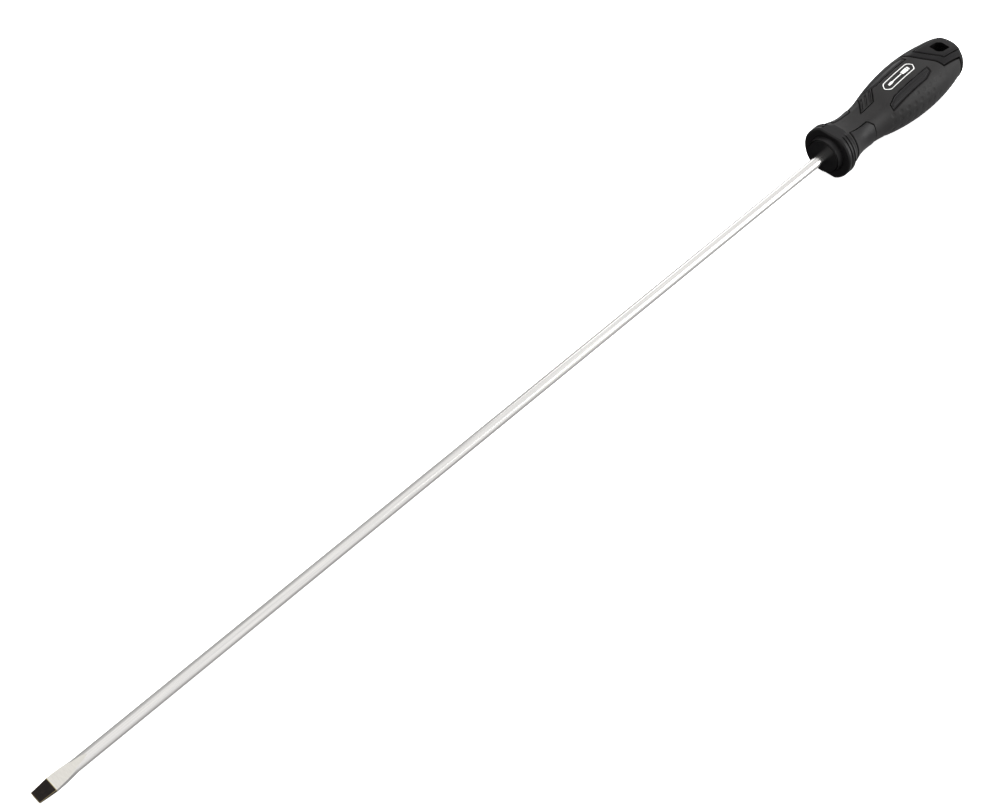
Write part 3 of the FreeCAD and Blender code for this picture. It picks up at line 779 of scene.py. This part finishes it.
def over_the_end(y, front_x, under_x, arm_steps, dome_steps):
    """Points at y from the upper front edge, back, over the dome, and forward to the lower edge."""
    arm = np.linspace(0, 1, arm_steps, endpoint=False)
    upper_x = front_x + (RING_X - front_x) * arm
    upper = from_plan(upper_x, np.full_like(upper_x, y))
    turn = np.linspace(0, math.pi, dome_steps)
    starts = np.broadcast_to([RING_X, y, 0.0], (dome_steps, 3))
    dome = land(starts, np.stack([-np.sin(turn), np.zeros_like(turn), np.cos(turn)], axis=-1))
    lower_x = under_x + (RING_X - under_x) * arm
    lower = half_turned(from_plan(lower_x, np.full_like(lower_x, -y)))
    return np.concatenate([upper, dome, lower[::-1]])


def round_the_side(edge, ring_x, front_x, under_x, arm_steps, side_steps):
    """The band's outer way on the right: along its upper arm, round the side, along the lower."""
    arm = np.linspace(0, 1, arm_steps, endpoint=False)
    upper_x = front_x + (ring_x - front_x) * arm
    upper = from_plan(upper_x, np.full_like(upper_x, -edge))
    corner = from_plan(np.array([ring_x]), np.array([-edge]))[0]
    start = math.atan2(corner[2], corner[1])
    ring = skin_points(np.full(side_steps, ring_x), np.linspace(start, 2 * math.pi - start, side_steps))
    lower_x = under_x + (ring_x - under_x) * arm
    lower = half_turned(from_plan(lower_x, np.full_like(lower_x, edge)))
    return np.concatenate([upper, ring, lower[::-1]])


# %% Make the band
FRONT_STEPS, ARM_STEPS, END_STEPS, MEAN_WIDTH = 50, 70, 90, 6.0


def band_loop(centre, edge, curve, side_way):
    """One outline of the band: the upper front edge, the right side, and both turned half round."""
    y = np.linspace(edge, -edge, FRONT_STEPS, endpoint=False)
    upper = from_plan(front_edge_x(y, centre, curve), y)
    half = np.concatenate([upper, side_way[:-1]])
    return np.concatenate([half, half_turned(half)])


outer_edge, outer_curve = BAND_EDGE - SEAM, FRONT_CURVE - SEAM
front_x, under_x = (front_edge_x(y, BAND_CENTRE, outer_curve) for y in (-outer_edge, outer_edge))
outer_way = round_the_side(outer_edge, RING_X - SEAM, front_x, under_x, ARM_STEPS, END_STEPS)
inner_edge, inner_curve = CAP_EDGE + SEAM / 2, FRONT_CURVE + SEAM / 2
front_x, under_x = (front_edge_x(y, CAP_CENTRE, inner_curve) for y in (-inner_edge, inner_edge))
inner_way = over_the_end(-inner_edge, front_x, under_x, ARM_STEPS, END_STEPS)
outer_loop = band_loop(BAND_CENTRE, outer_edge, outer_curve, outer_way)
inner_loop = band_loop(CAP_CENTRE, inner_edge, inner_curve, inner_way)
width = np.linalg.norm(outer_loop - inner_loop, axis=-1)
share = eased_steps(MEAN_WIDTH, 0.4)[:, None]
grid = towards(outer_loop + (inner_loop - outer_loop) * share[..., None])
inside = np.minimum(share, 1 - share) * np.clip(width, None, MEAN_WIDTH)
lift = BAND_PROUD - edge_drop(inside, BAND_ROUNDING)
points, faces = moulded_cap(grid, lift, BAND_DEPTH, round_columns=True)
# The band takes the darker copy of the plastic, which is painted shade.
make_piece("band_moulding", points, faces, "butt_band", "rigid_plastic", painted_shade_plastic, weld=True)

# %% Make the end cap
cap_edge, cap_curve = CAP_EDGE - SEAM / 2, FRONT_CURVE - SEAM / 2
cap_y = cap_edge * (1 - 2 * eased_steps(2 * cap_edge, 0.35))
cap_ends = [front_edge_x(side * cap_y, CAP_CENTRE, cap_curve) for side in (1, -1)]
cap_grid = np.stack([over_the_end(y, *ends, 64, 84) for y, *ends in zip(cap_y, *cap_ends)])
flat_y = np.where(cap_grid[..., 2] < 0, -cap_grid[..., 1], cap_grid[..., 1])
inside = inside_zone(cap_grid[..., 0], flat_y, CAP_CENTRE, CAP_EDGE) - SEAM / 2
points, faces = moulded_cap(cap_grid, CAP_PROUD - edge_drop(inside, CAP_ROUNDING), CAP_BED)
# The cap takes the darker copy of the plastic, which is painted shade.
cap = make_piece("cap_moulding", points, faces, "end_cap", "rigid_plastic", painted_shade_plastic, weld=True)

# %% Cut the hang hole
EYE_ROUNDING = 0.7


def softened(corners, size, steps=5):
    """A closed outline whose corners are replaced by short curves, size long on each side."""
    corners = np.asarray(corners, float)
    start = corners + size * unit(np.roll(corners, 1, axis=0) - corners)
    end = corners + size * unit(np.roll(corners, -1, axis=0) - corners)
    t = np.linspace(0, 1, steps)[:, None, None]
    curve = start * (1 - t) ** 2 + corners * 2 * t * (1 - t) + end * t ** 2
    return curve.transpose(1, 0, 2).reshape(-1, corners.shape[1])


cut_through(cap, *straight_prism(softened(EYE, EYE_ROUNDING)))

# %% [markdown]
# ## The collar
# A hard ring at the front of the grip, with two flats that stop the tool rolling, and two
# fine grooves. It was turned and then cut flat, so the mesh is too: each point of the turned
# profile is brought in wherever the flat is nearer to the axis.

# %% Make the collar
COLLAR_RADIUS, COLLAR_CHAMFER, FLAT_HEIGHT, BOSS_RADIUS = 14.6, 0.7, 13.0, 10.16
LAND_END, COLLAR_END, REAR_RADIUS = -5.2, -7.6, 13.3
GROOVES, GROOVE_WIDTH, GROOVE_DEPTH, GROOVE_LEAN = (-2.2, -4.2), 0.8, 0.6, 0.08
COLLAR_SOFTNESS, COLLAR_CREASE, COLLAR_COLUMNS = 0.12, 16.0, 560
profile = [(0.0, BOSS_RADIUS), (0.0, COLLAR_RADIUS - COLLAR_CHAMFER), (-COLLAR_CHAMFER, COLLAR_RADIUS)]
for groove_x in GROOVES:
    groove_end, groove_radius = groove_x - GROOVE_WIDTH, COLLAR_RADIUS - GROOVE_DEPTH
    profile += [(groove_x, COLLAR_RADIUS), (groove_x - GROOVE_LEAN, groove_radius)]
    profile += [(groove_end + GROOVE_LEAN, groove_radius), (groove_end, COLLAR_RADIUS)]
profile += [(LAND_END, COLLAR_RADIUS), (COLLAR_END, REAR_RADIUS), (COLLAR_END, BOSS_RADIUS)]
profile = softened(profile, COLLAR_SOFTNESS, 4)
angle = around(COLLAR_COLUMNS)
height = FLAT_HEIGHT - np.clip(COLLAR_CHAMFER + profile[:, 0], 0, None)
reach = np.minimum(profile[:, 1][:, None], height[:, None] / np.maximum(np.abs(np.sin(angle)), 1e-6))
points, faces = turned(round_points(profile[:, :1], reach, angle), round_rows=True)
make_piece("collar_moulding", points, faces, "collar", "rigid_plastic", polypropylene,
           crease=COLLAR_CREASE)

# %% [markdown]
# ## The core
# The core is hidden but for its boss in the collar and the walls of the hang hole, where the
# CAD mesh is already right, so it only takes its finish.

# %% Finish the core
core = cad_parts["core"]
core.data.materials.clear()
core.data.materials.append(polypropylene)
print("core:", len(core.data.polygons), "faces")

# %% [markdown]
# ## The blade
# The bar is drawn, forged broad and nearly square at its end, ground to a wedge on two faces,
# plated and dipped. A boolean of a cylinder, a block and a wedge would do. A section worked out
# at each place keeps a line of points on every edge, so the ground faces stay crisp.

# %% Section of the blade
BAR_RADIUS, TIP_X, TANG_X = 2.75, 500.0, -84.0
GRIND_X, FLARE_X, DIP_X = TIP_X - 25.0, TIP_X - 19.0, TIP_X - 8.0
WIDE, NARROW, THIN = 3.3, 2.8, 0.5
ROUND, SQUARED = 2.0, 7.0
TIP_TURN = math.radians(-12.0)
SECTION_STEPS, EDGE_ANGLE = (14, 1, 7), 0.012
WINGS, WING_WIDTH, WING_HEIGHT = ((-70.0, -59.0), (-38.0, -27.0)), 5.16, 1.3


def wedge_height(x):
    """Half of the blade's thickness between its ground faces."""
    return np.interp(x, [GRIND_X, TIP_X], [BAR_RADIUS, THIN])


def forged_side(x):
    """Half width of the forged section, and its power: 2 is an ellipse, 7 is nearly an oblong."""
    width = np.interp(x, [FLARE_X, DIP_X, TIP_X], [BAR_RADIUS, WIDE, NARROW])
    return width, np.interp(x, [FLARE_X, DIP_X], [ROUND, SQUARED])


def turned_tip(points):
    """Points turned about the axis by the angle of the tip."""
    c, s = math.cos(TIP_TURN), math.sin(TIP_TURN)
    return points @ np.array([[1, 0, 0], [0, c, s], [0, -s, c]])


def quarter_angles(x):
    """Angles of a quarter of the section, with a line on the edge of the ground face: where the
    forged side, width (1 - (z / r)^n)^(1/n), reaches the height of the wedge."""
    width, power = forged_side(x)
    height = np.minimum(wedge_height(x), BAR_RADIUS * 0.9998)
    edge_y = width * (1 - (height / BAR_RADIUS) ** power) ** (1 / power)
    facet = np.arctan2(height, edge_y)
    stops = np.stack([np.zeros_like(x), facet - EDGE_ANGLE, facet, np.full_like(x, math.pi / 2)])
    parts = []
    for start, end, count in zip(stops[:-1, :, None], stops[1:, :, None], SECTION_STEPS):
        parts.append(start + (end - start) * np.arange(count) / count)
    return np.concatenate(parts, axis=1)


print("half width of the forged section at the dip: %.2f, power %.0f" % forged_side(DIP_X))

# %% Make the plated blade
def blade_rows():
    """Places along the bar: few where it is round, doubled at the wings' ends, close at the tip."""
    wings = np.array([(start - 0.01, start, end, end + 0.01) for start, end in WINGS])
    bar = np.linspace(12.0, GRIND_X, 40)
    return np.concatenate([[TANG_X], wings.ravel(), [0.0], bar, np.linspace(GRIND_X + 0.3, DIP_X, 70)])


x = blade_rows()
quarter = quarter_angles(x)
mirror = math.pi - quarter[:, :0:-1]
half_way = np.concatenate([quarter, np.full((len(x), 1), math.pi / 2), mirror], axis=1)
angle = np.concatenate([half_way, half_way + math.pi], axis=1)
sine, cosine = np.abs(np.sin(angle)) + 1e-9, np.abs(np.cos(angle)) + 1e-9
width, power = (part[:, None] for part in forged_side(x))
section = ((cosine / width) ** power + (sine / BAR_RADIUS) ** power) ** (-1 / power)
in_wing = np.any([(x >= start) & (x <= end) for start, end in WINGS], axis=0)[:, None]
wings = np.where(in_wing, np.minimum(WING_WIDTH / cosine, WING_HEIGHT / sine), 0)
section = np.minimum(np.maximum(section, wings), wedge_height(x)[:, None] / sine)
blade_grid = round_points(x[:, None], section, angle)
ground = (np.abs(blade_grid[..., 2]) > wedge_height(x)[:, None] - 1e-4) & (x > GRIND_X)[:, None]
poles = [np.broadcast_to([end, 0.0, 0.0], blade_grid[:1].shape) for end in (x[0], x[-1])]
blade_grid = np.concatenate([poles[0], blade_grid, poles[1]])
ground = np.concatenate([ground[:1] & False, ground, ground[:1] & False])
print("blade grid", blade_grid.shape)
make_piece("plated_blade", *turned(turned_tip(blade_grid)), "blade", "plated_steel", chrome,
           weld=True, marks={GROUND: ground})

# %% [markdown]
# ### The blackened end
# The last 8 mm were dipped. They are a piece of their own, so that their finish has its own
# material. The edges are a fine curve, and the marks on it paint a beige highlight along them.

# %% Make the blackened end
EDGE_SIZE, GLINT_BAND, ROW_GAP = 0.2, 0.2, 0.02


def dipped_section(x, inset=0.0):
    """The oblong section of the end at x, its four corners softened, drawn in by inset."""
    width = float(forged_side(x)[0]) - inset
    height = float(wedge_height(x)) - inset
    corners = [(width, height), (-width, height), (-width, -height), (width, -height)]
    outline = softened(corners, EDGE_SIZE, 3)
    return np.column_stack([np.full(len(outline), x), outline])


places = [(DIP_X, 0.0), (DIP_X + GLINT_BAND, 0.0)]
middle_places = np.linspace(DIP_X + GLINT_BAND + ROW_GAP, TIP_X - EDGE_SIZE - ROW_GAP, 20)
places += [(x, 0.0) for x in middle_places]
places += [(TIP_X - EDGE_SIZE, 0.0), (TIP_X, EDGE_SIZE)]
rows = [dipped_section(x, inset) for x, inset in places]
poles = [np.broadcast_to([end, 0.0, 0.0], rows[0].shape) for end in (DIP_X, TIP_X)]
dipped = np.stack([poles[0]] + rows + [poles[1]])
# Painted highlight: beige lines on the four long edges, at the dip line and round the tip's end.
painted_glint = np.zeros(dipped.shape[:2])
painted_glint[:, 1::3] = 1.0
painted_glint[1:3] = 0.9
painted_glint[-3:-1] = 0.7
make_piece("tip_blacking", *turned(turned_tip(dipped)), None, "blackened_steel", blacking,
           weld=True, marks={PAINTED_GLINT: painted_glint})

# %% [markdown]
# ## The badge
# A printed badge lies on the upper face. This one is a plain mark: a long outline with a
# small picture of a slotted blade in it, and no letters. A flat print could be an image, but
# a skin of ink a few hundredths of a millimetre thick takes its place from the handle itself.

# %% Make the badge
BADGE_X, BADGE_Y, BADGE_LENGTH, BADGE_WIDTH, BADGE_POINT = -59.3, -0.7, 24.5, 5.9, 2.2
BADGE_LINE, INK = 0.42, 0.05
SCREWDRIVER = [
    (-8.4, -7.4, 1.9, 2.3), (-7.0, -2.6, 2.4, 1.8), (-2.2, 4.6, 0.55, 0.55),
    (4.6, 6.2, 0.55, 1.5), (6.2, 8.4, 1.5, 1.1)]


def badge_outline(inset):
    """A long six-sided outline round the badge's middle, drawn in by inset."""
    long, wide = BADGE_LENGTH / 2 - inset, BADGE_WIDTH / 2 - inset
    side = long - BADGE_POINT
    corners = [(long, 0), (side, wide), (-side, wide), (-long, 0), (-side, -wide), (side, -wide)]
    outline = softened(corners, 1.0, 6)
    share = np.linspace(0, len(outline), 240, endpoint=False)
    closed = np.concatenate([outline, outline[:1]])
    return np.column_stack([np.interp(share, np.arange(len(closed)), closed[:, k]) for k in (0, 1)])


def inked(plan, round_columns=False):
    """A thin skin of ink on the upper face over a grid of plan points from the badge's middle."""
    points = from_plan(BADGE_X + plan[..., 0], BADGE_Y + plan[..., 1])
    return moulded_cap(points, np.full(plan.shape[:-1], INK), INK, round_columns)


def inked_bar(start, end, start_width, end_width):
    """A straight bar of ink along the badge, from x start to x end, that widens or narrows."""
    along, across = np.meshgrid(np.linspace(0, 1, 24), np.linspace(-0.5, 0.5, 7), indexing="ij")
    width = start_width + (end_width - start_width) * along
    return inked(np.stack([start + (end - start) * along, across * width], axis=-1))


ring = np.stack([badge_outline(inset) for inset in (0.0, BADGE_LINE / 2, BADGE_LINE)])
prints = [inked(ring, True)] + [inked_bar(*bar) for bar in SCREWDRIVER]
offsets = np.cumsum([0] + [len(points) for points, _ in prints[:-1]])
points = np.concatenate([points for points, _ in prints])
faces = np.concatenate([faces + offset for (_, faces), offset in zip(prints, offsets)])
make_piece("badge_print", points, faces, None, "badge_ink", print_ink)

# %% [markdown]
# ## Floor, light and camera
# The tool rests on its belly and on the end of its bar, so the floor is level with both. Black
# plastic shows its form only by what it mirrors, so the light comes from above and behind: a
# large soft lamp on top, two low ones, and a world that is dim below, on the far right, and low
# in front of the collar. The floor is a lit sheet of white paper that the tool doesn't mirror.

# %% Floor
BELLY_TOUCH = (BELLY_X, float(skin_points(np.array(BELLY_X), -math.pi / 2)[2]))
BAR_TOUCH = (GRIND_X, -BAR_RADIUS)
floor_slope = (BAR_TOUCH[1] - BELLY_TOUCH[1]) / (BAR_TOUCH[0] - BELLY_TOUCH[0])
FLOOR_SIZE, FLOOR_GAP, PAPER_GLOW = 60000.0, 0.06, 0.9
floor_flat = np.array([(-1, -1), (1, -1), (1, 1), (-1, 1)]) * FLOOR_SIZE / 2
floor_z = BELLY_TOUCH[1] + floor_slope * (floor_flat[:, 0] - BELLY_TOUCH[0]) - FLOOR_GAP
floor_mesh = bpy.data.meshes.new("studio_floor")
floor_mesh.from_pydata(np.column_stack([floor_flat, floor_z]) * MM, [], [(0, 1, 2, 3)])
floor = put("studio_floor", floor_mesh)
white_paper, tree, shader, place = new_material("white_paper_floor", Roughness=0.85)
paper = blend_colours(tree, noise(tree, place, 40.0, 3.0), linear("#f4f4f4"), linear("#fafafa"))
tree.links.new(paper, shader.inputs["Base Color"])
tree.links.new(paper, shader.inputs["Emission Color"])
shader.inputs["Emission Strength"].default_value = PAPER_GLOW
floor_mesh.materials.append(white_paper)
floor.visible_diffuse = False
floor.visible_glossy = False
print("floor slope %.2f degrees" % math.degrees(math.atan(floor_slope)))

# %% Lamps
def aimed(place, side, back):
    """The matrix of a lamp or camera at place, in metres, from its side and back directions."""
    matrix = np.eye(4)
    matrix[:3, :3] = np.column_stack([side, np.cross(back, side), back])
    matrix[:3, 3] = place
    return Matrix(matrix.tolist())


def area_lamp(name, place, aim, size, watts):
    """A soft rectangular lamp, size (x, y) in metres, that shines from place towards aim."""
    data = bpy.data.lights.new(name, "AREA")
    data.shape = "RECTANGLE"
    data.size, data.size_y = size
    data.energy = watts
    lamp = put(name, data)
    back = unit(np.array(place) - np.array(aim))
    lamp.matrix_world = aimed(place, unit(np.cross([0.0, 1.0, 0.02], back)), back)
    print("%-12s %5.1f W" % (name, watts))
    return lamp


GRIP_AT = (-0.05, 0.0, 0.0)
top_lamp = area_lamp("top_lamp", (-0.3, -0.1, 1.5), (0.1, 0.0, 0.0), (2.0, 1.4), 26.0)
top_lamp.visible_glossy = False
area_lamp("back_lamp", (-0.9, -1.1, 0.5), GRIP_AT, (1.2, 0.5), 2.0)
area_lamp("side_lamp", (-1.0, 1.2, 0.45), GRIP_AT, (1.2, 0.6), 7.0)

# %% World
def sky_share(tree, along, start, end, first, last):
    """A share that goes smoothly from first to last as the sky's direction goes from start to end."""
    span = {"Value": along, "From Min": start, "From Max": end, "To Min": first, "To Max": last}
    return add(tree, "ShaderNodeMapRange", span, interpolation_type="SMOOTHSTEP").outputs["Result"]


world = bpy.data.worlds.new("pale_studio")
world.use_nodes = True
sky = world.node_tree
way = add(sky, "ShaderNodeTexCoord").outputs["Generated"]
ahead, aside, above = add(sky, "ShaderNodeSeparateXYZ", {"Vector": way}).outputs
front_low = add(sky, "ShaderNodeMath", {0: ahead, 1: above}, operation="SUBTRACT").outputs[0]
shares = [
    sky_share(sky, front_low, 0.7, 1.25, 1.0, 0.1),
    sky_share(sky, aside, -1.0, -0.2, 0.5, 1.0),
    sky_share(sky, above, -0.85, 0.2, 0.42, 1.0),
]
glow = shares[0]
for share in shares[1:]:
    glow = add(sky, "ShaderNodeMath", {0: glow, 1: share}, operation="MULTIPLY").outputs[0]
sky.links.new(glow, sky.nodes["Background"].inputs["Strength"])
sky.nodes["Background"].inputs["Color"].default_value = linear("#f6f6f6")
bpy.context.scene.world = world
bpy.context.scene.view_settings.view_transform = "Standard"
print("world nodes:", len(sky.nodes))

# %% Camera
CAMERA_AT = (585.0, 352.725, 615.459)
CAMERA_YAW, CAMERA_PITCH, RESTING_TILT = np.radians([224.27505, 49.6123, 1.697])
LENS, SENSOR = 62.5, 36.0
level = np.array([math.cos(RESTING_TILT), 0.0, math.sin(RESTING_TILT)])
upright = np.array([-math.sin(RESTING_TILT), 0.0, math.cos(RESTING_TILT)])
heading = math.cos(CAMERA_YAW) * level + math.sin(CAMERA_YAW) * np.array([0.0, 1.0, 0.0])
forward = math.cos(CAMERA_PITCH) * heading - math.sin(CAMERA_PITCH) * upright
right = unit(np.cross(forward, upright))
camera_data = bpy.data.cameras.new("camera")
camera_data.sensor_width = SENSOR
camera_data.lens = LENS
camera_data.clip_start = 0.01
camera = put("camera", camera_data)
camera.matrix_world = aimed(np.array(CAMERA_AT) * MM, right, -forward)
bpy.context.scene.camera = camera
print("lens %.1f mm" % camera_data.lens)
